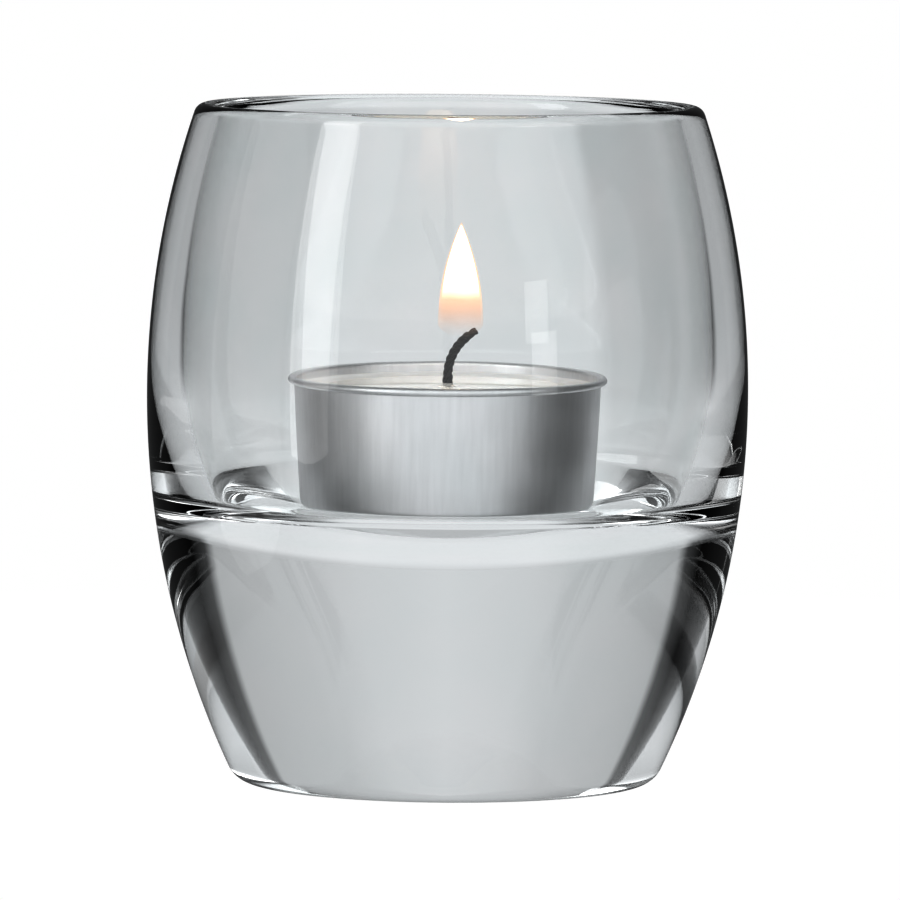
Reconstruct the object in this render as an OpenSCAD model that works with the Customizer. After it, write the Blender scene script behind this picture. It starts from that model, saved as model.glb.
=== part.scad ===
// Tealight holder: a heavy blown-glass barrel with a bowl in its upper half,
// and the tealight that stands in the bowl. The origin is on the surface the
// holder stands on, in the middle of its foot, with +Z up. Sizes in millimetres.

/* [Glass holder] */
// Overall height of the glass
holder_h = 81.9; // [70:0.1:100]
// Diameter at the widest point of the belly
holder_d = 72.5; // [68:0.1:100]
// Height of the widest point of the belly
belly_z = 47; // [43:0.5:52]
// Radius of the side's upright curve above the belly
upper_side_r = 107; // [90:1:200]
// Radius of the side's upright curve below the belly
lower_side_r = 106; // [90:1:200]
// Radius of the rounded corner at the foot
foot_corner_r = 3.3; // [1:0.1:5]
// Thickness of the wall at the rim, whose edge is fully rounded
rim_wall = 3; // [2:0.1:4]

/* [Bowl] */
// Thickness of the wall beside the bowl's widest point
bowl_wall = 4.25; // [3.5:0.05:6]
// Height of the bowl's widest point
bowl_wide_z = 51; // [48:0.5:55]
// Radius of the bowl's upright curve below its widest point
bowl_side_r = 52; // [46:0.5:70]
// Radius of the curve that joins the bowl's side to its floor
bowl_corner_r = 3.5; // [2:0.5:6]
// Radius of the dished floor of the bowl
bowl_dish_r = 84; // [70:1:120]
// Thickness of the solid glass under the middle of the bowl
base_thickness = 28.7; // [20:0.1:31]

/* [Tealight cup] */
// Diameter over the rolled rim
cup_d = 38.6; // [36:0.1:40]
// Height of the cup
cup_h = 18.1; // [14:0.1:22]
// Thickness of the drawn sheet
cup_sheet = 0.25; // [0.2:0.05:0.5]
// Radius of the rolled bead at the rim
cup_bead_r = 0.5; // [0.35:0.05:0.8]
// How much smaller in radius the cup is at its base than below its bead
cup_taper = 0.5; // [0:0.1:1.5]
// Outer radius of the corner between the cup's side and its base
cup_corner_r = 1.4; // [0.8:0.1:3]

/* [Candle] */
// Depth of the wax's surface below the top of the cup
wax_drop = 1.5; // [0.8:0.1:6]
// Diameter of the melted pool round the wick
pool_d = 30; // [10:0.5:34]
// Depth of the melted pool in the middle
pool_depth = 1.6; // [0.8:0.1:3]
// Diameter of the fresh wick, in the wax
wick_d = 1.3; // [1.25:0.05:1.6]
// Diameter of the charred wick along its bend
char_d = 1.15; // [1:0.05:1.2]
// Diameter of the wick's thin tip
tip_d = 0.95; // [0.6:0.05:0.95]
// Height above the wax at which the wick starts to bend
wick_upright = 1.4; // [0.4:0.1:3]
// Radius of the wick's bend, along its middle
wick_bend_r = 6; // [3:0.1:12]
// Angle of the wick's bend
wick_bend = 55; // [10:1:80]
// Length of the straight tip beyond the bend
wick_tip = 1; // [0.2:0.1:3]
// Diameter of the sustainer's disc
sustainer_d = 12.5; // [9:0.5:16]
// Thickness of the sustainer's sheet
sustainer_sheet = 0.3; // [0.2:0.05:0.5]
// Height of the neck that grips the wick
neck_h = 3; // [1.5:0.1:5]

/* [Clearances] */
// Gap between the cup and the glass where the cup rests
rest_gap = 0.1; // [0.05:0.01:0.3]
// Gap between pieces that are cast, melted or crimped together
cast_gap = 0.02; // [0.01:0.01:0.05]
// How far one stretch of the wick runs into the next
wick_lap = 0.3; // [0.1:0.1:0.5]

/* [Hidden] */
$fn = 180;

// Point that lies at a distance and an angle from another point, in a half section
function polar(from, r, a) = from + r * [cos(a), sin(a)];
// Angle of the line from one point to another
function bearing(from, to) = atan2(to[1] - from[1], to[0] - from[0]);
// The outer of the two points at given distances from two others
function meet(p, rp, q, rq) =
    let (d = norm(q - p))
    let (along = (rp * rp - rq * rq + d * d) / (2 * d))
    let (off = sqrt(rp * rp - along * along))
    let (u = (q - p) / d)
    p + along * u + off * [u[1], -u[0]];

// Half section of the outside: side curves, foot corner and rim
holder_r = holder_d / 2;
upper_side_c = [holder_r - upper_side_r, belly_z];
lower_side_c = [holder_r - lower_side_r, belly_z];
foot_drop = belly_z - foot_corner_r;
foot_reach = sqrt(pow(lower_side_r - foot_corner_r, 2) - pow(foot_drop, 2));
foot_corner_c = [lower_side_c[0] + foot_reach, foot_corner_r];
foot_top = polar(lower_side_c, lower_side_r, bearing(lower_side_c, foot_corner_c));
rim_r = rim_wall / 2;
rim_rise = holder_h - rim_r - belly_z;
rim_reach = sqrt(pow(upper_side_r - rim_r, 2) - pow(rim_rise, 2));
rim_c = [upper_side_c[0] + rim_reach, holder_h - rim_r];

// Half section of the bowl: its upper side curve runs smoothly into the rim
bowl_wide_r = holder_r - bowl_wall;
bowl_lean = bowl_wide_r - rim_c[0];
bowl_rise = rim_c[1] - bowl_wide_z;
bowl_upper_r = (pow(bowl_lean, 2) + pow(bowl_rise, 2) - pow(rim_r, 2)) / (2 * (rim_r + bowl_lean));
bowl_upper_c = [bowl_wide_r - bowl_upper_r, bowl_wide_z];
bowl_side_c = [bowl_wide_r - bowl_side_r, bowl_wide_z];
bowl_dish_c = [0, base_thickness + bowl_dish_r];
bowl_corner_c = meet(bowl_side_c, bowl_side_r - bowl_corner_r, bowl_dish_c, bowl_dish_r - bowl_corner_r);
bowl_corner_top = polar(bowl_side_c, bowl_side_r, bearing(bowl_side_c, bowl_corner_c));
bowl_corner_low = polar(bowl_dish_c, bowl_dish_r, bearing(bowl_dish_c, bowl_corner_c));
rim_outer_a = bearing(upper_side_c, rim_c);
rim_inner_a = bearing(rim_c, bowl_upper_c);
// Size that is larger than the whole holder, for shapes that bound a region
reach = 2 * (holder_h + holder_d);
// How far a cutting shape runs past the faces it cuts
overrun = 1;

// The cup, whose base corner rests on the dished floor and whose bead is rolled outwards
cup_r = cup_d / 2 - 2 * cup_bead_r + cup_sheet;
cup_base_r = cup_r - cup_taper;
cup_rest_z = bowl_dish_c[1] - cup_corner_r
    - sqrt(pow(bowl_dish_r - cup_corner_r, 2) - pow(cup_base_r - cup_corner_r, 2)) + rest_gap;
cup_top_z = cup_rest_z + cup_h;

// The wax has melted against the cup and fills it as far up as its surface
wax_low_z = cup_rest_z + cup_sheet + cast_gap;
wax_top_z = cup_top_z - wax_drop;
wall_rise = cup_h - cup_corner_r - cup_bead_r;
function cup_inner_r(z) = cup_base_r - cup_sheet + cup_taper * (z - cup_rest_z - cup_corner_r) / wall_rise;
wax_corner_r = cup_corner_r - cup_sheet - cast_gap;
pool_r = pool_d / 2;
pool_ball_r = (pow(pool_r, 2) + pow(pool_depth, 2)) / (2 * pool_depth);
wick_r = wick_d / 2;
neck_r = wick_r + cast_gap + sustainer_sheet;
wick_low_z = wax_low_z + sustainer_sheet;
bend_z = wax_top_z + wick_upright;

// Draws the part of its children between two heights of a half section
module between(low, high) {
    intersection() {
        children();
        translate([0, low]) square([reach, high - low]);
    }
}

module disc_at(centre, r) {
    translate(centre) circle(r);
}

// Solid block from the axis to a rounded corner, for the stretch of heights that the corner spans
module corner_block(centre, r, low, high) {
    translate([0, low]) square([centre[0], high - low]);
    intersection() {
        disc_at(centre, r);
        translate([centre[0], low]) square([r, high - low]);
    }
}

module outside_section() {
    corner_block(foot_corner_c, foot_corner_r, 0, foot_top[1]);
    between(foot_top[1], belly_z) disc_at(lower_side_c, lower_side_r);
    between(belly_z, holder_h) disc_at(upper_side_c, upper_side_r);
}

module bowl_section() {
    between(bowl_wide_z, reach) disc_at(bowl_upper_c, bowl_upper_r);
    between(bowl_corner_top[1], bowl_wide_z) disc_at(bowl_side_c, bowl_side_r);
    corner_block(bowl_corner_c, bowl_corner_r, bowl_corner_low[1], bowl_corner_top[1]);
    between(0, bowl_corner_low[1]) disc_at(bowl_dish_c, bowl_dish_r);
}

// Everything on one side of the line across the wall where the rounded rim starts
module beside_rim_line(side_z) {
    inner_far = polar(rim_c, reach, rim_inner_a);
    outer_far = polar(rim_c, reach, rim_outer_a);
    polygon([inner_far, rim_c, outer_far, [outer_far[0], side_z], [inner_far[0], side_z]]);
}

module glass_holder() {
    color([0.82, 0.86, 0.88, 0.35])
        rotate_extrude() {
            difference() {
                intersection() {
                    outside_section();
                    beside_rim_line(-reach);
                }
                bowl_section();
            }
            intersection() {
                disc_at(rim_c, rim_r);
                beside_rim_line(reach);
            }
        }
}

module tealight_cup() {
    bead_z = cup_top_z - cup_bead_r;
    corner_z = cup_rest_z + cup_corner_r;
    corner_x = cup_base_r - cup_corner_r;
    color([0.86, 0.87, 0.88])
        rotate_extrude() {
            translate([0, cup_rest_z]) square([corner_x, cup_sheet]);
            intersection() {
                difference() {
                    disc_at([corner_x, corner_z], cup_corner_r);
                    disc_at([corner_x, corner_z], cup_corner_r - cup_sheet);
                }
                translate([corner_x, cup_rest_z - overrun]) square(cup_corner_r + overrun);
            }
            polygon([
                [cup_base_r - cup_sheet, corner_z],
                [cup_base_r, corner_z],
                [cup_r, bead_z],
                [cup_r - cup_sheet, bead_z],
            ]);
            disc_at([cup_r - cup_sheet + cup_bead_r, bead_z], cup_bead_r);
        }
}

// The lens of melted wax, as a half section grown by a gap
module pool_lens(grow) {
    between(wax_top_z - pool_depth - grow, wax_top_z)
        disc_at([0, wax_top_z - pool_depth + pool_ball_r], pool_ball_r + grow);
}

// The sustainer's outline as a half section grown by a gap, with the wick's room inside it
module sustainer_room(grow) {
    translate([0, wax_low_z - overrun]) square([sustainer_d / 2 + grow, overrun + sustainer_sheet + grow]);
    translate([0, wax_low_z]) square([neck_r + grow, neck_h + grow]);
}

module wax() {
    corner_z = wax_low_z + wax_corner_r;
    low_r = cup_inner_r(corner_z) - cast_gap;
    top_r = cup_inner_r(wax_top_z) - cast_gap;
    color([0.96, 0.96, 0.95])
        rotate_extrude()
            difference() {
                union() {
                    corner_block([low_r - wax_corner_r, corner_z], wax_corner_r, wax_low_z, corner_z);
                    polygon([[0, corner_z], [low_r, corner_z], [top_r, wax_top_z], [0, wax_top_z]]);
                }
                pool_lens(cast_gap);
                sustainer_room(cast_gap);
                square([wick_r + cast_gap, wax_top_z + overrun]);
            }
}

module melt_pool() {
    color([0.93, 0.94, 0.94, 0.6])
        rotate_extrude()
            difference() {
                pool_lens(0);
                square([wick_r + cast_gap, wax_top_z + overrun]);
            }
}

module wick() {
    bend_c = [wick_bend_r, 0, bend_z];
    bend_end = bend_c + wick_bend_r * [-cos(wick_bend), 0, sin(wick_bend)];
    color([0.12, 0.1, 0.1]) {
        translate([0, 0, wick_low_z]) cylinder(r = wick_r, h = bend_z + wick_lap - wick_low_z);
        translate(bend_c)
            rotate([90, 0, 0])
                rotate([0, 0, 180 - wick_bend])
                    rotate_extrude(angle = wick_bend) translate([wick_bend_r, 0]) circle(char_d / 2);
        translate(bend_end)
            rotate([0, wick_bend, 0])
                translate([0, 0, -wick_lap]) cylinder(r = tip_d / 2, h = wick_lap + wick_tip);
    }
}

module wick_sustainer() {
    color([0.7, 0.71, 0.72])
        rotate_extrude()
            difference() {
                union() {
                    translate([0, wax_low_z]) square([sustainer_d / 2, sustainer_sheet]);
                    translate([0, wax_low_z]) square([neck_r, neck_h]);
                }
                translate([0, wick_low_z - cast_gap]) square([wick_r + cast_gap, neck_h + overrun]);
            }
}

glass_holder();
tealight_cup();
wax();
melt_pool();
wick();
wick_sustainer();
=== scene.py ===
import math

import bpy
from bpy.props import FloatProperty, FloatVectorProperty, IntProperty, PointerProperty
from mathutils import Matrix, Vector


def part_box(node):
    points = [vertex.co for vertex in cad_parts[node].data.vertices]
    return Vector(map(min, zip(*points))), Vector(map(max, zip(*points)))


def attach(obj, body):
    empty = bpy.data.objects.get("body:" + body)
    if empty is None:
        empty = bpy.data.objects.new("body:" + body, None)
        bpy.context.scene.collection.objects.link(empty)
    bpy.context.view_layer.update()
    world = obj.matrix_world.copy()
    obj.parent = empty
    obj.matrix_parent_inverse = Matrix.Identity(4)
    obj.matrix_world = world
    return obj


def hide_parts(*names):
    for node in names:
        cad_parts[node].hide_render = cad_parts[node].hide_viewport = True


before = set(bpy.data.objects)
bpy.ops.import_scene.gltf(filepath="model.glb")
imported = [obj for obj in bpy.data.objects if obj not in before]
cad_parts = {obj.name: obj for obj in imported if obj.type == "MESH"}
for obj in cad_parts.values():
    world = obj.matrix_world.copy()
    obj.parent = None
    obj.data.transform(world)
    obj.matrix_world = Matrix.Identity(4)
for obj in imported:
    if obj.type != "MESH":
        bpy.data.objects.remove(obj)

bl_info = {
    "name": "Tealight holder",
    "version": (1, 0, 0),
    "blender": (4, 5, 0),
    "location": "3D View > Sidebar > Tealight",
    "description": "Makes a glass tealight holder with a lit tealight around its CAD frame",
    "category": "Object",
}

MM = 0.001
FULL_TURN = 2 * math.pi
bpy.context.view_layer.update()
GLASS_LOW, GLASS_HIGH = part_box("glass_holder")
CUP_LOW, CUP_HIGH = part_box("tealight_cup")
WAX_LOW, WAX_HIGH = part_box("wax")
POOL_LOW, POOL_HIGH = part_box("melt_pool")
WICK_LOW, WICK_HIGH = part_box("wick")
SUSTAINER_LOW, SUSTAINER_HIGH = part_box("wick_sustainer")


def linear(hex_colour):
    """The linear red, green and blue of an sRGB hex colour."""
    parts = [int(hex_colour[k:k + 2], 16) / 255 for k in (1, 3, 5)]
    return [p / 12.92 if p <= 0.04045 else ((p + 0.055) / 1.055) ** 2.4 for p in parts]


def length(name, description, millimetres):
    return FloatProperty(name=name, description=description, default=millimetres * MM,
                         min=0.0, precision=5, unit="LENGTH")


def colour(name, description, hex_colour):
    return FloatVectorProperty(name=name, description=description, subtype="COLOR",
                               size=3, min=0.0, max=1.0, default=linear(hex_colour))


def degrees(name, description, angle):
    return FloatProperty(name=name, description=description, default=math.radians(angle),
                         subtype="ANGLE")


def level(name, description, value):
    return FloatProperty(name=name, description=description, default=value, min=0.0)


class GlassSettings(bpy.types.PropertyGroup):
    """The holder: the curves of its half section, and its glass."""

    belly_height: length("Belly height", "Height of the widest point of the side", 47)
    upper_side_radius: length("Upper side", "Radius of the side's curve above the belly", 107)
    lower_side_radius: length("Lower side", "Radius of the side's curve below the belly", 106)
    foot_corner: length("Foot corner", "Radius of the rounded corner at the foot", 3.3)
    rim_wall: length("Rim wall", "Thickness of the wall at the rounded rim", 3)
    bowl_wall: length("Bowl wall", "Wall beside the widest point of the bowl", 4.25)
    bowl_wide_height: length("Bowl widest at", "Height of the bowl's widest point", 51)
    bowl_side_radius: length("Bowl side", "Radius of the bowl's side below its widest point", 52)
    bowl_corner: length("Bowl corner", "Radius of the curve from side to floor", 3.5)
    bowl_dish: length("Bowl dish", "Radius of the dished floor of the bowl", 84)
    base_thickness: length("Base", "Solid glass under the middle of the bowl", 28.7)
    chord: length("Chord", "Longest straight piece of a curve in the half section", 0.55)
    turns: IntProperty(name="Steps round", description="Faces round the axis", default=240, min=24)
    tint: colour("Tint", "Colour of light that has passed through the glass", "#FBFDFD")
    index: level("Refractive index", "Index of soda-lime glass", 1.52)
    waviness: length("Waviness", "Width of the faint waves left by moulding", 9)


class CupSettings(bpy.types.PropertyGroup):
    """The drawn aluminium cup of the tealight."""

    sheet: length("Sheet", "Thickness of the drawn sheet", 0.25)
    bead: length("Bead", "Radius of the rolled bead at the rim", 0.5)
    taper: length("Taper", "How much smaller the base is in radius than the top", 0.5)
    corner: length("Corner", "Outer radius of the corner at the base", 1.4)
    ring_radius: length("Stamped ring", "Radius of the ring stamped in the base", 11)
    ring_height: length("Ring height", "Height of the ring stamped in the base", 0.3)
    metal: colour("Aluminium", "Colour of the bare aluminium sheet", "#F2F2F3")
    draw_line: length("Draw lines", "Spacing of the fine upright lines left by drawing", 0.6)


class CandleSettings(bpy.types.PropertyGroup):
    """The wax, the melted pool, the wick and its sustainer."""

    cast_gap: length("Cast gap", "Gap between pieces cast or melted together", 0.02)
    wick_diameter: length("Wick", "Diameter of the fresh wick", 1.3)
    char_diameter: length("Charred wick", "Diameter of the wick along its bend", 1.15)
    tip_diameter: length("Tip", "Diameter of the wick's thin tip", 0.95)
    upright: length("Upright", "Height above the wax where the wick starts to bend", 1.4)
    bend_radius: length("Bend", "Radius of the wick's bend", 6)
    bend: degrees("Bend angle", "Angle of the wick's bend", 55)
    tip_length: length("Tip length", "Straight end beyond the bend", 1.0)
    lay: length("Lay", "Length of one turn of the wick's twist", 2.6)
    neck_wall: length("Neck wall", "Wall of the sustainer's neck and disc", 0.3)
    neck_height: length("Neck", "Height of the sustainer's neck", 3)
    meniscus: length("Meniscus", "How far the melted wax climbs up the wick", 0.5)
    # Painted glow: emission on the wax and the melted pool, standing in for the flame's light scattered
    # inside them.
    painted_wax_glow: level("Painted wax glow", "Light of the flame that the wax gathers", 0.2)
    wax: colour("Wax", "Colour of the paraffin wax", "#F4F2EE")
    char: colour("Char", "Colour of the charred cotton", "#0B0A0A")
    cotton: colour("Cotton", "Colour of the waxed cotton below the pool", "#D9D2C2")


class FlameSettings(bpy.types.PropertyGroup):
    """The flame that stands on the wick."""

    height: length("Height", "Height of the flame", 13.8)
    width: length("Width", "Greatest width of the flame", 5.5)
    foot: length("Foot", "Height of the flame's lower end above the wax", 6.0)
    aside: length("Aside", "How far the flame stands to the side of the axis", 1.5)
    edge: length("Edge", "Thickness of the orange edge round the white core", 0.28)
    core: colour("Core", "Colour of the hottest part", "#FFF3DC")
    mantle: colour("Mantle", "Colour of the edge", "#FFCDA9")
    core_power: level("Core brightness", "Brightness of the core", 6.0)
    mantle_power: level("Mantle brightness", "Brightness of the edge", 1.5)


class StudioSettings(bpy.types.PropertyGroup):
    """The floor, the light round the holder and the camera."""

    camera_distance: length("Camera distance", "From the lens to the holder's axis", 1200)
    camera_height: length("Camera height", "Height of the lens above the floor", 134)
    aim_height: length("Aim", "Height on the axis that the camera looks at", 42)
    view_width: length("View width", "Width of the view at the holder's axis", 108.3)
    roll: degrees("Roll", "Turn of the camera about its own line of sight", 0.46)
    shift_right: level("Shift right", "Share of the frame that the view is moved", 0.0031)
    shift_down: level("Shift down", "Share of the frame that the view is moved", 0.0169)
    floor_radius: length("Floor", "Radius of the pale floor", 250)
    floor_gap: length("Floor gap", "How far the floor lies below the foot", 0.05)
    dome_radius: length("Dome", "Radius of the studio dome", 4000)
    backdrop: level("Backdrop", "Brightness of the lit backdrop", 0.74)
    backdrop_half: degrees("Backdrop half width", "Half of the backdrop's width", 42)
    backdrop_fade: degrees("Backdrop fade", "How fast it falls off to black past that", 5)
    flag_end: degrees("Flag end", "Where the black flags at the sides end", 114)
    front: level("Front", "Brightness of the room in front of the holder", 1.4)
    floor_level: level("Floor brightness", "Brightness of the lit floor behind the holder", 0.82)
    floor_half: degrees("Floor half width", "Half of the lit floor's width", 46)
    floor_front: level("Floor in front", "Brightness of the floor in front of the holder", 0.95)
    floor_side: level("Floor at the sides", "Brightness of the floor at the sides", 0.03)
    glancing: level("Glancing", "Share of the backdrop seen by light that only glances off a surface", 0.15)
    ceiling: level("Ceiling", "Brightness of the ceiling", 0.6)
    softbox: level("Softbox", "Brightness of the softboxes", 3.6)
    contrast: level("Contrast", "Gamma of the view: below 1 it deepens the dark edges", 0.65)


def settings():
    return bpy.context.scene.tealight_holder


# ---------------------------------------------------------------- half outlines

def polar(centre, radius, angle):
    return centre + radius * Vector((math.cos(angle), math.sin(angle)))


def bearing(start, end):
    return math.atan2(end[1] - start[1], end[0] - start[0])


def meet(p, p_radius, q, q_radius):
    """The outer of the two points at given distances from two others."""
    apart = (q - p).length
    along = (p_radius ** 2 - q_radius ** 2 + apart ** 2) / (2 * apart)
    off = math.sqrt(p_radius ** 2 - along ** 2)
    u = (q - p) / apart
    return p + along * u + off * Vector((u[1], -u[0]))


def arc(centre, radius, start, end, chord, least=8):
    """Points along an arc from one angle to another, without the first."""
    count = max(least, math.ceil(abs(end - start) * radius / chord))
    return [polar(centre, radius, start + (end - start) * k / count) for k in range(1, count + 1)]


def straight(start, end, chord):
    """Points along a straight line, without the first."""
    count = max(1, math.ceil((end - start).length / chord))
    return [start.lerp(end, k / count) for k in range(1, count + 1)]


def glass_outline(glass):
    """Half section of the holder, from the middle of its foot round to the middle of its bowl."""
    radius = (GLASS_HIGH.x - GLASS_LOW.x) / 2
    height = GLASS_HIGH.z
    upper = Vector((radius - glass.upper_side_radius, glass.belly_height))
    lower = Vector((radius - glass.lower_side_radius, glass.belly_height))
    corner = glass.foot_corner
    foot_reach = math.sqrt((glass.lower_side_radius - corner) ** 2 - (glass.belly_height - corner) ** 2)
    foot = Vector((lower.x + foot_reach, corner))
    rim_radius = glass.rim_wall / 2
    rim_rise = height - rim_radius - glass.belly_height
    rim_reach = math.sqrt((glass.upper_side_radius - rim_radius) ** 2 - rim_rise ** 2)
    rim = Vector((upper.x + rim_reach, height - rim_radius))

    wide = radius - glass.bowl_wall
    lean = wide - rim.x
    rise = rim.y - glass.bowl_wide_height
    above_radius = (lean ** 2 + rise ** 2 - rim_radius ** 2) / (2 * (rim_radius + lean))
    above = Vector((wide - above_radius, glass.bowl_wide_height))
    side = Vector((wide - glass.bowl_side_radius, glass.bowl_wide_height))
    dish = Vector((0.0, glass.base_thickness + glass.bowl_dish))
    turn = meet(side, glass.bowl_side_radius - glass.bowl_corner, dish, glass.bowl_dish - glass.bowl_corner)

    chord = glass.chord
    quarter = math.pi / 2
    lower_start = bearing(lower, foot)
    rim_outer = bearing(upper, rim)
    rim_inner = bearing(rim, above)
    if rim_inner < rim_outer:
        rim_inner += FULL_TURN
    points = [Vector((0.0, 0.0)), Vector((foot.x / 2, 0.0)), Vector((foot.x, 0.0))]
    points += arc(foot, corner, -quarter, lower_start, chord, 14)
    points += arc(lower, glass.lower_side_radius, lower_start, 0.0, chord)
    points += arc(upper, glass.upper_side_radius, 0.0, rim_outer, chord)
    points += arc(rim, rim_radius, rim_outer, rim_inner, chord, 22)
    points += arc(above, above_radius, bearing(above, rim), 0.0, chord)
    points += arc(side, glass.bowl_side_radius, 0.0, bearing(side, turn), chord)
    points += arc(turn, glass.bowl_corner, bearing(side, turn), bearing(dish, turn), chord, 20)
    points += arc(dish, glass.bowl_dish, bearing(dish, turn), -quarter, chord)
    points[-1].x = 0.0
    return points


def cup_outline(cup):
    """Half section of the cup, from the underside of its base round to the inside of its base."""
    low, high = CUP_LOW.z, CUP_HIGH.z
    bead = Vector(((CUP_HIGH.x - CUP_LOW.x) / 2 - cup.bead, high - cup.bead))
    top_outer = bead.x - cup.bead + cup.sheet
    base_outer = top_outer - cup.taper
    centre = Vector((base_outer - cup.corner, low + cup.corner))
    chord = 0.5 * MM
    quarter = math.pi / 2
    ring_in = cup.ring_radius - cup.ring_height
    ring_out = cup.ring_radius + cup.ring_height
    raised = low + cup.ring_height
    start_angle = -math.acos((top_outer - bead.x) / cup.bead)
    points = [Vector((0.0, raised)), Vector((ring_in, raised)), Vector((ring_out, low))]
    points += [Vector((centre.x, low))]
    points += arc(centre, cup.corner, -quarter, 0.0, chord, 10)
    points += straight(points[-1], polar(bead, cup.bead, start_angle), 1.5 * MM)
    points += arc(bead, cup.bead, start_angle, math.pi, chord, 22)
    inner_centre = centre.copy()
    inner_low = Vector((base_outer - cup.sheet, centre.y))
    points += straight(points[-1], inner_low, 1.5 * MM)
    points += arc(inner_centre, cup.corner - cup.sheet, 0.0, -quarter, chord, 8)
    points += [Vector((ring_out, low + cup.sheet)), Vector((ring_in, raised + cup.sheet))]
    points += [Vector((0.0, raised + cup.sheet))]
    return points


def cup_inner_radius(cup, z):
    """Inner radius of the cup's wall at a height."""
    top_inner = (CUP_HIGH.x - CUP_LOW.x) / 2 - 2 * cup.bead
    start = CUP_LOW.z + cup.corner
    rise = CUP_HIGH.z - cup.bead - start
    return top_inner - cup.taper * (1 - (z - start) / rise)


def pool_ball():
    """Centre height and radius of the ball that shapes the underside of the melted pool."""
    half = (POOL_HIGH.x - POOL_LOW.x) / 2
    depth = POOL_HIGH.z - POOL_LOW.z
    radius = (half ** 2 + depth ** 2) / (2 * depth)
    return Vector((0.0, POOL_LOW.z + radius)), radius


def wax_outline(cup, candle):
    """Half section of the wax with its room for the pool, the wick and the sustainer."""
    gap = candle.cast_gap
    hole = candle.wick_diameter / 2 + gap
    neck = hole + candle.neck_wall + gap
    disc = (SUSTAINER_HIGH.x - SUSTAINER_LOW.x) / 2 + gap
    low, top = WAX_LOW.z, WAX_HIGH.z
    centre, radius = pool_ball()
    grown = radius + gap
    pool_edge = math.sqrt(grown ** 2 - (centre.y - top) ** 2)
    inner_angle = -math.acos(hole / grown)
    edge_angle = bearing(centre, (pool_edge, top))
    round_off = cup.corner - cup.sheet - gap
    low_radius = cup_inner_radius(cup, low + round_off) - gap
    top_radius = cup_inner_radius(cup, top) - gap
    chord = 0.7 * MM
    first = polar(centre, grown, inner_angle)
    soft = 0.25 * MM
    climb = Vector((top_radius - 2 * soft, top + 2 * soft))
    points = [first] + arc(centre, grown, inner_angle, edge_angle, chord)
    points += [Vector((pool_edge + soft, top)), Vector((top_radius - 2 * soft, top))]
    points += arc(climb, 2 * soft, -math.pi / 2, -math.pi / 6, chord, 6)
    points += [Vector((top_radius, top))]
    corner = Vector((low_radius - round_off, low + round_off))
    points += straight(points[-1], Vector((low_radius, corner.y)), 1.2 * MM)
    points += arc(corner, round_off, 0.0, -math.pi / 2, chord, 10)
    points += [Vector((disc, low)), Vector((disc, low + candle.neck_wall + gap))]
    points += [Vector((neck, low + candle.neck_wall + gap)), Vector((neck, low + candle.neck_height + gap))]
    points += [Vector((hole, low + candle.neck_height + gap))]
    points += straight(points[-1], first, 1.5 * MM)
    return points


def pool_outline(candle):
    """Half section of the melted wax, which climbs a little up the wick."""
    hole = candle.wick_diameter / 2 + candle.cast_gap
    top = POOL_HIGH.z
    centre, radius = pool_ball()
    edge = (POOL_HIGH.x - POOL_LOW.x) / 2
    inner_angle = -math.acos(hole / radius)
    climb = Vector((hole + candle.meniscus, top + candle.meniscus))
    chord = 0.7 * MM
    points = [Vector((hole, top + candle.meniscus))]
    points += arc(climb, candle.meniscus, -math.pi, -math.pi / 2, chord, 8)
    points += straight(points[-1], Vector((edge, top)), 1.5 * MM)
    points += arc(centre, radius, bearing(centre, (edge, top)), inner_angle, chord)
    points += straight(points[-1], points[0], 1.0 * MM)
    return points


def flame_outline(flame, thinner):
    """Half section of the flame: round below, drawn out to a point above."""
    count = 36
    round_share = 0.1
    half = flame.width / 2 - thinner
    height = flame.height - 2 * thinner
    foot = WAX_HIGH.z + flame.foot + thinner
    points = []
    for k in range(count + 1):
        share = k / count
        rounding = math.sqrt(min(1.0, share / round_share))
        narrowing = math.cos(math.pi / 2 * share ** 1.25) ** 0.9 if k < count else 0.0
        points.append(Vector((half * rounding * narrowing, foot + height * share)))
    return points


# ---------------------------------------------------------------- making pieces

def start_vertex(name, point):
    """Starts a new piece as one vertex, left in edit mode with that vertex selected."""
    bpy.ops.object.select_all(action="DESELECT")
    bpy.ops.mesh.primitive_plane_add(size=MM, location=(0, 0, 0))
    piece = bpy.context.object
    piece.name = name
    piece.data.name = name
    bpy.ops.object.mode_set(mode="EDIT")
    bpy.ops.mesh.select_all(action="SELECT")
    bpy.ops.mesh.merge(type="CENTER")
    bpy.ops.transform.translate(value=point)
    return piece


def draw_line(points):
    """Pulls the selected vertex from point to point."""
    for start, end in zip(points, points[1:]):
        bpy.ops.mesh.extrude_vertices_move(TRANSFORM_OT_translate={"value": end - start})


def lathe(name, outline, steps, smooth_angle=None):
    """A piece turned from a half outline, which starts and ends on the axis or closes on itself."""
    points = [Vector((x, 0.0, z)) for x, z in outline]
    piece = start_vertex(name, points[0])
    draw_line(points)
    bpy.ops.mesh.select_all(action="SELECT")
    bpy.ops.mesh.spin(steps=steps, angle=FULL_TURN, center=(0, 0, 0), axis=(0, 0, 1))
    bpy.ops.mesh.select_all(action="SELECT")
    bpy.ops.mesh.remove_doubles(threshold=0.002 * MM)
    bpy.ops.mesh.normals_make_consistent(inside=False)
    bpy.ops.object.mode_set(mode="OBJECT")
    if smooth_angle is None:
        bpy.ops.object.shade_smooth()
    else:
        bpy.ops.object.shade_smooth_by_angle(angle=math.radians(smooth_angle))
    return piece


def shift_mesh(piece, offset):
    """Moves a piece's mesh and leaves its object at the origin."""
    bpy.ops.object.select_all(action="DESELECT")
    piece.select_set(True)
    bpy.context.view_layer.objects.active = piece
    bpy.ops.object.mode_set(mode="EDIT")
    bpy.ops.mesh.select_all(action="SELECT")
    bpy.ops.transform.translate(value=offset)
    bpy.ops.object.mode_set(mode="OBJECT")


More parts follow.
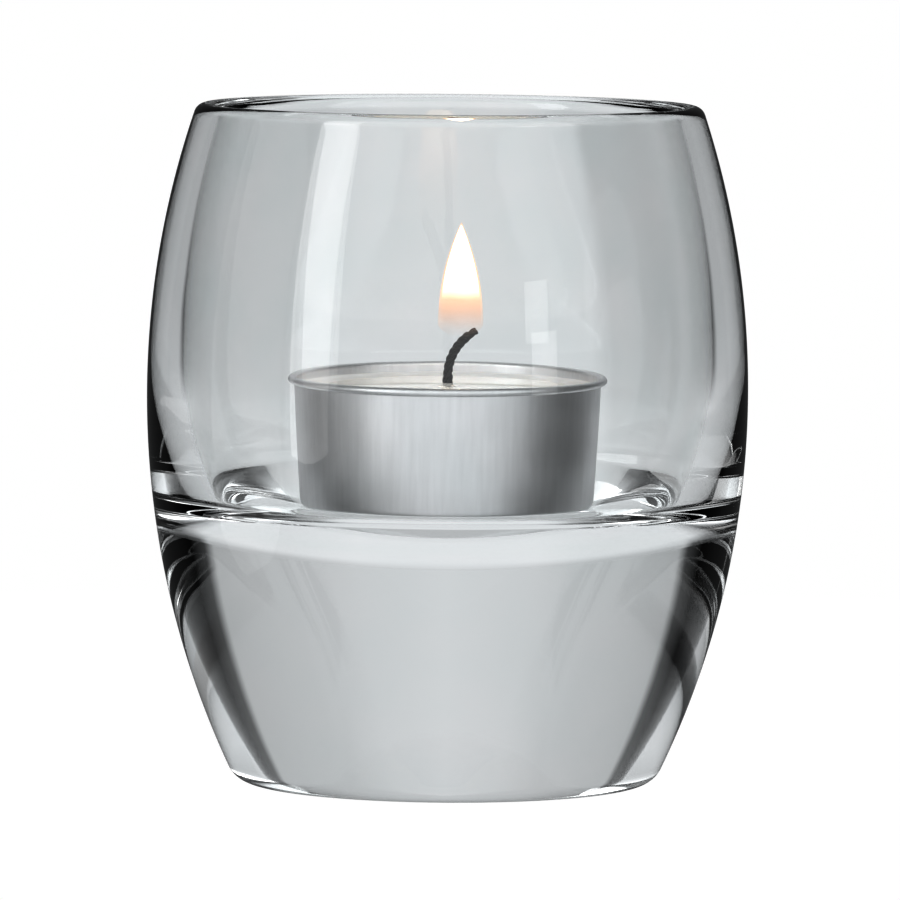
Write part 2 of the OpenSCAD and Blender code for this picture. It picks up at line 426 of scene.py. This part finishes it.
def finish_piece(piece, material, body, stands_for=()):
    piece.data.materials.clear()
    piece.data.materials.append(material)
    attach(piece, body)
    if stands_for:
        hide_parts(*stands_for)


# ---------------------------------------------------------------- materials

def add(tree, kind, inputs=None, stops=(), **choices):
    """Adds a node with its settings, its values, its links and the stops of its ramp."""
    made = tree.nodes.new(kind)
    for name, value in choices.items():
        setattr(made, name, value)
    for name, value in (inputs or {}).items():
        if isinstance(value, bpy.types.NodeSocket):
            tree.links.new(value, made.inputs[name])
        else:
            made.inputs[name].default_value = value
    for k, (place, rgb) in enumerate(stops):
        elements = made.color_ramp.elements
        element = elements[k] if k < len(elements) else elements.new(place)
        element.position = place
        element.color = opaque(rgb)
    return made


def new_material(name):
    material = bpy.data.materials.new(name)
    material.use_nodes = True
    material.node_tree.nodes.clear()
    return material, material.node_tree


def opaque(rgb):
    return (*rgb, 1.0)


def cool_grey(value):
    return (0.98 * value, value, 1.015 * value)


def clear_glass(glass):
    """Soda-lime glass pressed in a polished mould: clear and bright, with the faint slow waves
    that the mould and the fire polish leave, and a trace of softness where they gather."""
    material, tree = new_material("pressed_soda_lime_glass")
    place = add(tree, "ShaderNodeTexCoord").outputs["Object"]
    waves = add(tree, "ShaderNodeTexNoise", {"Vector": place, "Scale": 1 / glass.waviness, "Detail": 1.0})
    bump = add(tree, "ShaderNodeBump", {
        "Height": waves.outputs["Fac"], "Strength": 1.0, "Distance": 0.012 * MM})
    tint = add(tree, "ShaderNodeValToRGB", {"Fac": waves.outputs["Fac"]}, [
        (0.3, glass.tint), (0.7, linear("#FFFFFF"))])
    shader = add(tree, "ShaderNodeBsdfPrincipled", {
        "Base Color": tint.outputs["Color"], "Roughness": 0.0, "IOR": glass.index,
        "Transmission Weight": 1.0, "Normal": bump.outputs["Normal"]})
    add(tree, "ShaderNodeOutputMaterial", {"Surface": shader.outputs["BSDF"]})
    return material


def drawn_aluminium(cup):
    """Aluminium sheet drawn into a cup: satin grey, with fine upright lines from the die."""
    material, tree = new_material("drawn_aluminium")
    place = add(tree, "ShaderNodeTexCoord").outputs["Object"]
    stretched = add(tree, "ShaderNodeMapping", {"Vector": place, "Scale": (1.0, 1.0, 0.06)})
    lines = add(tree, "ShaderNodeTexNoise", {
        "Vector": stretched.outputs["Vector"], "Scale": 1 / cup.draw_line, "Detail": 3.0})
    cloud = add(tree, "ShaderNodeTexNoise", {"Vector": place, "Scale": 1 / (7 * MM), "Detail": 2.0})
    metal = Vector(cup.metal)
    shade = add(tree, "ShaderNodeValToRGB", {"Fac": lines.outputs["Fac"]}, [
        (0.3, metal * 0.93), (0.7, metal)])
    roughness = add(tree, "ShaderNodeMapRange", {
        "Value": cloud.outputs["Fac"], "From Min": 0.3, "From Max": 0.7, "To Min": 0.42, "To Max": 0.52})
    bump = add(tree, "ShaderNodeBump", {
        "Height": lines.outputs["Fac"], "Strength": 0.5, "Distance": 0.02 * MM})
    shader = add(tree, "ShaderNodeBsdfPrincipled", {
        "Base Color": shade.outputs["Color"], "Metallic": 1.0, "Roughness": roughness.outputs["Result"],
        "Normal": bump.outputs["Normal"]})
    add(tree, "ShaderNodeOutputMaterial", {"Surface": shader.outputs["BSDF"]})
    return material


def paraffin(candle):
    """Cast paraffin wax: milky white, faintly mottled by crystals, with a painted glow: its own emission
    stands in for the flame's light gathered inside it.
    """
    material, tree = new_material("cast_paraffin_wax")
    place = add(tree, "ShaderNodeTexCoord").outputs["Object"]
    mottle = add(tree, "ShaderNodeTexNoise", {"Vector": place, "Scale": 1 / (2.2 * MM), "Detail": 4.0})
    pits = add(tree, "ShaderNodeTexNoise", {"Vector": place, "Scale": 1 / (0.5 * MM), "Detail": 2.0})
    wax = Vector(candle.wax)
    shade = add(tree, "ShaderNodeValToRGB", {"Fac": mottle.outputs["Fac"]}, [
        (0.35, wax * 0.94), (0.65, wax)])
    bump = add(tree, "ShaderNodeBump", {
        "Height": pits.outputs["Fac"], "Strength": 0.4, "Distance": 0.03 * MM})
    shader = add(tree, "ShaderNodeBsdfPrincipled", {
        "Base Color": shade.outputs["Color"], "Roughness": 0.38, "IOR": 1.44, "Subsurface Weight": 0.6,
        "Subsurface Radius": (1.0, 0.85, 0.7), "Subsurface Scale": 1.6 * MM,
        # The emission paints a glow on the wax, standing in for the flame's light inside it.
        "Emission Color": opaque(candle.wax), "Emission Strength": candle.painted_wax_glow,
        "Normal": bump.outputs["Normal"]})
    add(tree, "ShaderNodeOutputMaterial", {"Surface": shader.outputs["BSDF"]})
    return material


def melted_wax(candle):
    """Melted paraffin: a still, glossy, nearly clear liquid over the white wax."""
    material, tree = new_material("melted_paraffin")
    place = add(tree, "ShaderNodeTexCoord").outputs["Object"]
    ripple = add(tree, "ShaderNodeTexNoise", {"Vector": place, "Scale": 1 / (5 * MM), "Detail": 1.0})
    bump = add(tree, "ShaderNodeBump", {
        "Height": ripple.outputs["Fac"], "Strength": 0.5, "Distance": 0.02 * MM})
    wax = Vector(candle.wax)
    shade = add(tree, "ShaderNodeValToRGB", {"Fac": ripple.outputs["Fac"]}, [
        (0.3, wax * 0.97), (0.7, wax)])
    # The emission paints a glow on the melted wax, standing in for the flame's light inside it.
    shader = add(tree, "ShaderNodeBsdfPrincipled", {
        "Base Color": shade.outputs["Color"], "Roughness": 0.03, "IOR": 1.43, "Transmission Weight": 0.85,
        "Emission Color": opaque(candle.wax), "Emission Strength": 0.6 * candle.painted_wax_glow,
        "Normal": bump.outputs["Normal"]})
    add(tree, "ShaderNodeOutputMaterial", {"Surface": shader.outputs["BSDF"]})
    return material


def charred_cotton(candle):
    """Twisted cotton yarn: soot black and matt where it has burnt, waxy cream down in the candle."""
    material, tree = new_material("charred_cotton_yarn")
    place = add(tree, "ShaderNodeTexCoord").outputs["Object"]
    height = add(tree, "ShaderNodeSeparateXYZ", {"Vector": place}).outputs["Z"]
    fibres = add(tree, "ShaderNodeTexNoise", {"Vector": place, "Scale": 1 / (0.18 * MM), "Detail": 4.0})
    char = Vector(candle.char)
    soot = add(tree, "ShaderNodeValToRGB", {"Fac": fibres.outputs["Fac"]}, [
        (0.35, char), (0.75, char * 2.5)])
    burnt = add(tree, "ShaderNodeMapRange", {
        "Value": height, "From Min": POOL_LOW.z, "From Max": POOL_HIGH.z, "To Min": 0.0, "To Max": 1.0})
    shade = add(tree, "ShaderNodeMixRGB", {
        "Fac": burnt.outputs["Result"], "Color1": opaque(candle.cotton), "Color2": soot.outputs["Color"]})
    bump = add(tree, "ShaderNodeBump", {
        "Height": fibres.outputs["Fac"], "Strength": 0.8, "Distance": 0.05 * MM})
    shader = add(tree, "ShaderNodeBsdfPrincipled", {
        "Base Color": shade.outputs["Color"], "Roughness": 0.85, "Normal": bump.outputs["Normal"]})
    add(tree, "ShaderNodeOutputMaterial", {"Surface": shader.outputs["BSDF"]})
    return material


def tinned_steel():
    """Thin tinned steel, pressed and crimped: grey, half bright, with a fine spangle."""
    material, tree = new_material("tinned_steel")
    place = add(tree, "ShaderNodeTexCoord").outputs["Object"]
    spangle = add(tree, "ShaderNodeTexVoronoi", {"Vector": place, "Scale": 1 / (0.9 * MM)})
    shade = add(tree, "ShaderNodeValToRGB", {"Fac": spangle.outputs["Distance"]}, [
        (0.2, linear("#B9BBBD")), (0.8, linear("#D3D5D6"))])
    roughness = add(tree, "ShaderNodeMapRange", {
        "Value": spangle.outputs["Distance"], "To Min": 0.25, "To Max": 0.4})
    shader = add(tree, "ShaderNodeBsdfPrincipled", {
        "Base Color": shade.outputs["Color"], "Metallic": 1.0, "Roughness": roughness.outputs["Result"]})
    add(tree, "ShaderNodeOutputMaterial", {"Surface": shader.outputs["BSDF"]})
    return material


def burning_gas(name, low_rgb, high_rgb, low_power, high_power, solid_from, solid_to, strongest):
    """Glowing gas: its own light, clear at the foot of the flame, denser and whiter higher up."""
    material, tree = new_material(name)
    place = add(tree, "ShaderNodeTexCoord").outputs["Object"]
    height = add(tree, "ShaderNodeSeparateXYZ", {"Vector": place}).outputs["Z"]
    lick = add(tree, "ShaderNodeTexNoise", {"Vector": place, "Scale": 1 / (3 * MM), "Detail": 1.0})
    wander = add(tree, "ShaderNodeMath", {
        0: lick.outputs["Fac"], 1: 0.8 * MM, 2: height}, operation="MULTIPLY_ADD")
    rise = add(tree, "ShaderNodeMapRange", {
        "Value": wander.outputs["Value"], "From Min": solid_from, "From Max": solid_to},
        interpolation_type="SMOOTHSTEP")
    shade = add(tree, "ShaderNodeValToRGB", {"Fac": rise.outputs["Result"]}, [
        (0.1, low_rgb), (0.7, high_rgb)])
    power = add(tree, "ShaderNodeMapRange", {
        "Value": rise.outputs["Result"], "From Min": 0.4, "To Min": low_power, "To Max": high_power})
    density = add(tree, "ShaderNodeMath", {0: rise.outputs["Result"], 1: strongest}, operation="MULTIPLY")
    glow = add(tree, "ShaderNodeEmission", {
        "Color": shade.outputs["Color"], "Strength": power.outputs["Result"]})
    clear = add(tree, "ShaderNodeBsdfTransparent")
    mix = add(tree, "ShaderNodeMixShader", {
        0: density.outputs["Value"], 1: clear.outputs["BSDF"], 2: glow.outputs["Emission"]})
    add(tree, "ShaderNodeOutputMaterial", {"Surface": mix.outputs["Shader"]})
    return material


# ---------------------------------------------------------------- operators

class TEALIGHT_OT_glass(bpy.types.Operator):
    """Turn the glass holder from its half section"""

    bl_idname = "tealight.glass"
    bl_label = "Glass holder"

    def execute(self, context):
        glass = settings().glass
        piece = lathe("glass_body", glass_outline(glass), glass.turns)
        finish_piece(piece, clear_glass(glass), "holder", ["glass_holder"])
        return {"FINISHED"}


class TEALIGHT_OT_cup(bpy.types.Operator):
    """Turn the tealight's cup with its rolled bead and its stamped base"""

    bl_idname = "tealight.cup"
    bl_label = "Tealight cup"

    def execute(self, context):
        cup = settings().cup
        piece = lathe("aluminium_cup", cup_outline(cup), 160, smooth_angle=35)
        finish_piece(piece, drawn_aluminium(cup), "tealight", ["tealight_cup"])
        return {"FINISHED"}


class TEALIGHT_OT_wax(bpy.types.Operator):
    """Cast the wax with its room for the pool, the wick and the sustainer"""

    bl_idname = "tealight.wax"
    bl_label = "Wax"

    def execute(self, context):
        group = settings()
        piece = lathe("cast_wax", wax_outline(group.cup, group.candle), 128, smooth_angle=40)
        finish_piece(piece, paraffin(group.candle), "tealight", ["wax"])
        return {"FINISHED"}


class TEALIGHT_OT_pool(bpy.types.Operator):
    """Fill the pool of melted wax round the wick"""

    bl_idname = "tealight.pool"
    bl_label = "Melted pool"

    def execute(self, context):
        candle = settings().candle
        piece = lathe("melted_pool", pool_outline(candle), 128, smooth_angle=60)
        finish_piece(piece, melted_wax(candle), "tealight", ["melt_pool"])
        return {"FINISHED"}


def wick_route(candle, distance):
    """Place, sideways direction and thickness of the wick at a distance along it."""
    bend_z = WAX_HIGH.z + candle.upright
    upright = bend_z - WICK_LOW.z
    curve = candle.bend_radius * candle.bend
    if distance <= upright:
        return Vector((0, 0, WICK_LOW.z + distance)), 0.0, candle.wick_diameter
    if distance <= upright + curve:
        angle = (distance - upright) / candle.bend_radius
        centre = Vector((candle.bend_radius, 0, bend_z))
        point = centre + candle.bend_radius * Vector((-math.cos(angle), 0, math.sin(angle)))
        return point, angle, candle.char_diameter
    end, angle, _ = wick_route(candle, upright + curve)
    beyond = distance - upright - curve
    return end + beyond * Vector((math.sin(angle), 0, math.cos(angle))), angle, candle.tip_diameter


class TEALIGHT_OT_wick(bpy.types.Operator):
    """Twist the wick from three strands of cotton along its bend"""

    bl_idname = "tealight.wick"
    bl_label = "Wick"

    def execute(self, context):
        candle = settings().candle
        strands = 3
        total = (WAX_HIGH.z + candle.upright - WICK_LOW.z
                 + candle.bend_radius * candle.bend + candle.tip_length)
        count = 170
        made = []
        for strand in range(strands):
            points, widths = [], []
            for k in range(count + 1):
                distance = total * k / count
                middle, angle, thick = wick_route(candle, distance)
                turn = FULL_TURN * (distance / candle.lay + strand / strands)
                across = Vector((math.cos(angle), 0, -math.sin(angle)))
                off = 0.26 * thick * (math.cos(turn) * across + math.sin(turn) * Vector((0, 1, 0)))
                points.append(middle + off)
                widths.append(thick)
            piece = start_vertex(f"strand_{strand}", points[0])
            draw_line(points)
            bpy.ops.object.mode_set(mode="OBJECT")
            bpy.ops.object.convert(target="CURVE")
            piece = bpy.context.object
            piece.data.bevel_depth = 0.24
            piece.data.bevel_resolution = 2
            piece.data.use_fill_caps = True
            for point, width in zip(piece.data.splines[0].points, widths):
                point.radius = width
            bpy.ops.object.convert(target="MESH")
            made.append(bpy.context.object)
        bpy.ops.object.select_all(action="DESELECT")
        for piece in made:
            piece.select_set(True)
        bpy.context.view_layer.objects.active = made[0]
        bpy.ops.object.join()
        piece = bpy.context.object
        piece.name = "cotton_wick"
        bpy.ops.object.shade_smooth()
        finish_piece(piece, charred_cotton(candle), "tealight", ["wick"])
        return {"FINISHED"}


class TEALIGHT_OT_sustainer(bpy.types.Operator):
    """Give the wick's sustainer its metal finish"""

    bl_idname = "tealight.sustainer"
    bl_label = "Wick sustainer"

    def execute(self, context):
        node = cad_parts["wick_sustainer"]
        node.data.materials.clear()
        node.data.materials.append(tinned_steel())
        return {"FINISHED"}


class TEALIGHT_OT_flame(bpy.types.Operator):
    """Stand the flame on the wick: an orange edge round a white core"""

    bl_idname = "tealight.flame"
    bl_label = "Flame"

    def execute(self, context):
        flame = settings().flame
        foot = WAX_HIGH.z + flame.foot
        aside = (flame.aside, 0, 0)
        edge = lathe("flame_edge", flame_outline(flame, 0.0), 48)
        shift_mesh(edge, aside)
        mantle = burning_gas("burning_gas_edge", flame.mantle, flame.mantle, 1.0, flame.mantle_power,
                             foot, foot + 0.5 * flame.height, 0.5)
        finish_piece(edge, mantle, "tealight")
        core = lathe("flame_core", flame_outline(flame, flame.edge), 48)
        shift_mesh(core, aside)
        white = burning_gas("burning_gas_core", flame.mantle, flame.core, 1.0, flame.core_power,
                            foot + 0.1 * flame.height, foot + 0.7 * flame.height, 1.0)
        finish_piece(core, white, "tealight")
        return {"FINISHED"}


def pale_floor():
    """White paper lit so evenly that it melts into the background, with a trace of its grain."""
    material, tree = new_material("pale_floor")
    place = add(tree, "ShaderNodeTexCoord").outputs["Object"]
    grain = add(tree, "ShaderNodeTexNoise", {"Vector": place, "Scale": 1 / (3 * MM)})
    strength = add(tree, "ShaderNodeMapRange", {
        "Value": grain.outputs["Fac"], "To Min": 1.0, "To Max": 1.02})
    glow = add(tree, "ShaderNodeEmission", {"Strength": strength.outputs["Result"]})
    add(tree, "ShaderNodeOutputMaterial", {"Surface": glow.outputs["Emission"]})
    return material


# Heights in degrees between which the floor gives way to the walls, and the walls to the ceiling
FLOOR_TO_WALLS = (-14, -4)
WALLS_TO_CEILING = (40, 60)


def studio_walls(studio):
    """The light round the holder by direction: a grey backdrop, black flags at both sides,
    a lit room in front, a pale floor and a pale ceiling."""
    material, tree = new_material("studio_walls")
    place = add(tree, "ShaderNodeTexCoord").outputs["Object"]
    unit = add(tree, "ShaderNodeVectorMath", {0: place}, operation="NORMALIZE").outputs["Vector"]
    part = add(tree, "ShaderNodeSeparateXYZ", {"Vector": unit})
    azimuth = add(tree, "ShaderNodeMath", {0: part.outputs["X"], 1: part.outputs["Y"]}, operation="ARCTAN2")
    aside = add(tree, "ShaderNodeMath", {0: azimuth.outputs["Value"]}, operation="ABSOLUTE")
    share = add(tree, "ShaderNodeMath", {0: aside.outputs["Value"], 1: math.pi}, operation="DIVIDE")
    height = add(tree, "ShaderNodeMath", {0: part.outputs["Z"]}, operation="ARCSINE")
    walls = add(tree, "ShaderNodeValToRGB", {"Fac": share.outputs["Value"]}, [
        (0.0, cool_grey(studio.backdrop)),
        (studio.backdrop_half / math.pi, cool_grey(0.8 * studio.backdrop)),
        ((studio.backdrop_half + 0.7 * studio.backdrop_fade) / math.pi, cool_grey(0.17 * studio.backdrop)),
        ((studio.backdrop_half + 2.0 * studio.backdrop_fade) / math.pi, cool_grey(0.0)),
        (studio.flag_end / math.pi, cool_grey(0.0)),
        ((studio.flag_end + studio.backdrop_fade) / math.pi, cool_grey(studio.front))])
    floor_end, walls_start = (math.radians(angle) for angle in FLOOR_TO_WALLS)
    walls_end, ceiling_start = (math.radians(angle) for angle in WALLS_TO_CEILING)
    above_floor = add(tree, "ShaderNodeMapRange", {
        "Value": height.outputs["Value"], "From Min": floor_end, "From Max": walls_start})
    on_ceiling = add(tree, "ShaderNodeMapRange", {
        "Value": height.outputs["Value"], "From Min": walls_end, "From Max": ceiling_start})
    ground = add(tree, "ShaderNodeValToRGB", {"Fac": share.outputs["Value"]}, [
        (0.0, cool_grey(studio.floor_level)),
        (studio.floor_half / math.pi, cool_grey(studio.floor_level)),
        ((studio.floor_half + 4.0 * studio.backdrop_fade) / math.pi, cool_grey(studio.floor_side)),
        (studio.flag_end / math.pi, cool_grey(studio.floor_side)),
        ((studio.flag_end + 6.0 * studio.backdrop_fade) / math.pi, cool_grey(studio.floor_front))])
    lower = add(tree, "ShaderNodeMixRGB", {
        "Fac": above_floor.outputs["Result"], "Color1": ground.outputs["Color"],
        "Color2": walls.outputs["Color"]})
    whole = add(tree, "ShaderNodeMixRGB", {
        "Fac": on_ceiling.outputs["Result"], "Color1": lower.outputs["Color"],
        "Color2": opaque(cool_grey(studio.ceiling))})
    # Light that only glances off the outside sees the backdrop dimmed, which keeps the outlines dark
    glancing = add(tree, "ShaderNodeLightPath").outputs["Is Reflection Ray"]
    behind = add(tree, "ShaderNodeMath", {
        0: aside.outputs["Value"], 1: studio.flag_end}, operation="LESS_THAN")
    dimmed = add(tree, "ShaderNodeMath", {0: glancing, 1: behind.outputs["Value"]}, operation="MULTIPLY")
    strength = add(tree, "ShaderNodeMapRange", {
        "Value": dimmed.outputs["Value"], "To Min": 1.0, "To Max": studio.glancing})
    glow = add(tree, "ShaderNodeEmission", {
        "Color": whole.outputs["Color"], "Strength": strength.outputs["Result"]})
    add(tree, "ShaderNodeOutputMaterial", {"Surface": glow.outputs["Emission"]})
    return material


def softbox_cloth(power):
    """White cloth of a softbox, lit from behind: brightest in the middle."""
    material, tree = new_material("softbox_cloth")
    place = add(tree, "ShaderNodeTexCoord").outputs["UV"]
    from_middle = add(tree, "ShaderNodeVectorMath", {0: place, 1: (0.5, 0.5, 0.0)}, operation="DISTANCE")
    shade = add(tree, "ShaderNodeMapRange", {
        "Value": from_middle.outputs["Value"], "From Max": 0.7, "To Min": power, "To Max": 0.8 * power})
    glow = add(tree, "ShaderNodeEmission", {"Strength": shade.outputs["Result"]})
    add(tree, "ShaderNodeOutputMaterial", {"Surface": glow.outputs["Emission"]})
    return material


def light_from_the_viewer(piece, camera):
    """Keeps a lit piece of the stage fixed to the viewer and out of the viewer's sight."""
    piece.visible_camera = False
    piece.parent = camera
    piece.matrix_parent_inverse = camera.matrix_world.inverted()


# Each softbox: direction and height of its middle, its width and height as angles, its share of full power
SOFTBOXES = (
    (-126, 16, 17, 60, 1.0),
    (-96, 5, 36, 50, 0.16),
    (143, 3, 10, 8, 1.0),
)


class TEALIGHT_OT_stage(bpy.types.Operator):
    """Set up the floor, the studio light and the camera"""

    bl_idname = "tealight.stage"
    bl_label = "Stage"

    def execute(self, context):
        studio = settings().studio
        scene = context.scene

        bpy.ops.object.select_all(action="DESELECT")
        pitch = math.atan2(studio.camera_height - studio.aim_height, studio.camera_distance)
        bpy.ops.object.camera_add()
        camera = context.object
        camera.name = "camera"
        camera.matrix_world = (
            Matrix.Translation((0, -studio.camera_distance, studio.camera_height))
            @ Matrix.Rotation(math.pi / 2 - pitch, 4, "X")
            @ Matrix.Rotation(studio.roll, 4, "Z"))
        camera.data.sensor_width = 36
        camera.data.lens = camera.data.sensor_width * studio.camera_distance / studio.view_width
        camera.data.shift_x = studio.shift_right
        camera.data.shift_y = -studio.shift_down
        camera.data.clip_start = 0.01
        camera.data.clip_end = 2 * studio.dome_radius
        scene.camera = camera
        context.view_layer.update()

        bpy.ops.mesh.primitive_circle_add(vertices=96, radius=studio.floor_radius, fill_type="NGON")
        floor = context.object
        floor.name = "floor"
        floor.location.z = -studio.floor_gap
        bpy.ops.object.transform_apply(location=True, rotation=False, scale=False)
        floor.data.materials.append(pale_floor())
        floor.visible_transmission = False
        floor.visible_glossy = False
        floor.visible_diffuse = False

        bpy.ops.mesh.primitive_uv_sphere_add(segments=96, ring_count=48, radius=studio.dome_radius)
        dome = context.object
        dome.name = "studio_dome"
        bpy.ops.object.shade_smooth()
        dome.data.materials.append(studio_walls(studio))
        light_from_the_viewer(dome, camera)

        for number, (azimuth, height, wide, tall, share) in enumerate(SOFTBOXES):
            away = 0.9 * studio.dome_radius
            around = Matrix.Rotation(-math.radians(azimuth), 4, "Z")
            upward = Matrix.Rotation(math.radians(height) + math.pi / 2, 4, "X")
            middle = around @ Matrix.Rotation(math.radians(height), 4, "X") @ Vector((0, away, 0))
            half_wide, half_tall = (away * math.tan(math.radians(angle / 2)) for angle in (wide, tall))
            size = Matrix.Diagonal((2 * half_wide, 2 * half_tall, 1, 1))
            bpy.ops.object.select_all(action="DESELECT")
            bpy.ops.mesh.primitive_plane_add(size=1)
            softbox = context.object
            softbox.name = f"softbox_{number}"
            softbox.matrix_world = Matrix.Translation(middle) @ around @ upward @ size
            bpy.ops.object.transform_apply(location=True, rotation=True, scale=True)
            softbox.data.materials.append(softbox_cloth(studio.softbox * share))
            light_from_the_viewer(softbox, camera)

        world = bpy.data.worlds.new("white_room")
        scene.world = world
        world.use_nodes = True
        tree = world.node_tree
        tree.nodes.clear()
        path = add(tree, "ShaderNodeLightPath").outputs["Is Camera Ray"]
        back = add(tree, "ShaderNodeBackground", {"Color": opaque(linear("#FFFFFF")), "Strength": path})
        add(tree, "ShaderNodeOutputWorld", {"Surface": back.outputs["Background"]})

        scene.view_settings.view_transform = "Standard"
        scene.view_settings.gamma = studio.contrast
        scene.cycles.max_bounces = 32
        scene.cycles.transmission_bounces = 32
        scene.cycles.glossy_bounces = 12
        scene.cycles.transparent_max_bounces = 16
        return {"FINISHED"}


# ---------------------------------------------------------------- add-on

class TealightHolderSettings(bpy.types.PropertyGroup):
    """All the sizes and colours of the tealight holder."""

    glass: PointerProperty(type=GlassSettings)
    cup: PointerProperty(type=CupSettings)
    candle: PointerProperty(type=CandleSettings)
    flame: PointerProperty(type=FlameSettings)
    studio: PointerProperty(type=StudioSettings)


OPERATORS = (
    (TEALIGHT_OT_glass, "glass"),
    (TEALIGHT_OT_cup, "cup"),
    (TEALIGHT_OT_wax, "candle"),
    (TEALIGHT_OT_pool, None),
    (TEALIGHT_OT_wick, None),
    (TEALIGHT_OT_sustainer, None),
    (TEALIGHT_OT_flame, "flame"),
    (TEALIGHT_OT_stage, "studio"),
)


class TEALIGHT_PT_panel(bpy.types.Panel):
    """Lists the sizes, the colours and the steps that make the holder"""

    bl_idname = "TEALIGHT_PT_panel"
    bl_label = "Tealight holder"
    bl_space_type = "VIEW_3D"
    bl_region_type = "UI"
    bl_category = "Tealight"

    def draw(self, context):
        for operator, group_name in OPERATORS:
            box = self.layout.box()
            if group_name:
                group = getattr(context.scene.tealight_holder, group_name)
                for name in group.__annotations__:
                    box.prop(group, name)
            box.operator(operator.bl_idname)


CLASSES = (GlassSettings, CupSettings, CandleSettings, FlameSettings, StudioSettings,
           TealightHolderSettings, *(operator for operator, _ in OPERATORS), TEALIGHT_PT_panel)


def register():
    for cls in CLASSES:
        bpy.utils.register_class(cls)
    bpy.types.Scene.tealight_holder = PointerProperty(type=TealightHolderSettings)


def unregister():
    del bpy.types.Scene.tealight_holder
    for cls in reversed(CLASSES):
        bpy.utils.unregister_class(cls)


def main():
    register()
    for operator, _ in OPERATORS:
        family, name = operator.bl_idname.split(".")
        getattr(getattr(bpy.ops, family), name)()


if __name__ == "__main__":
    main()
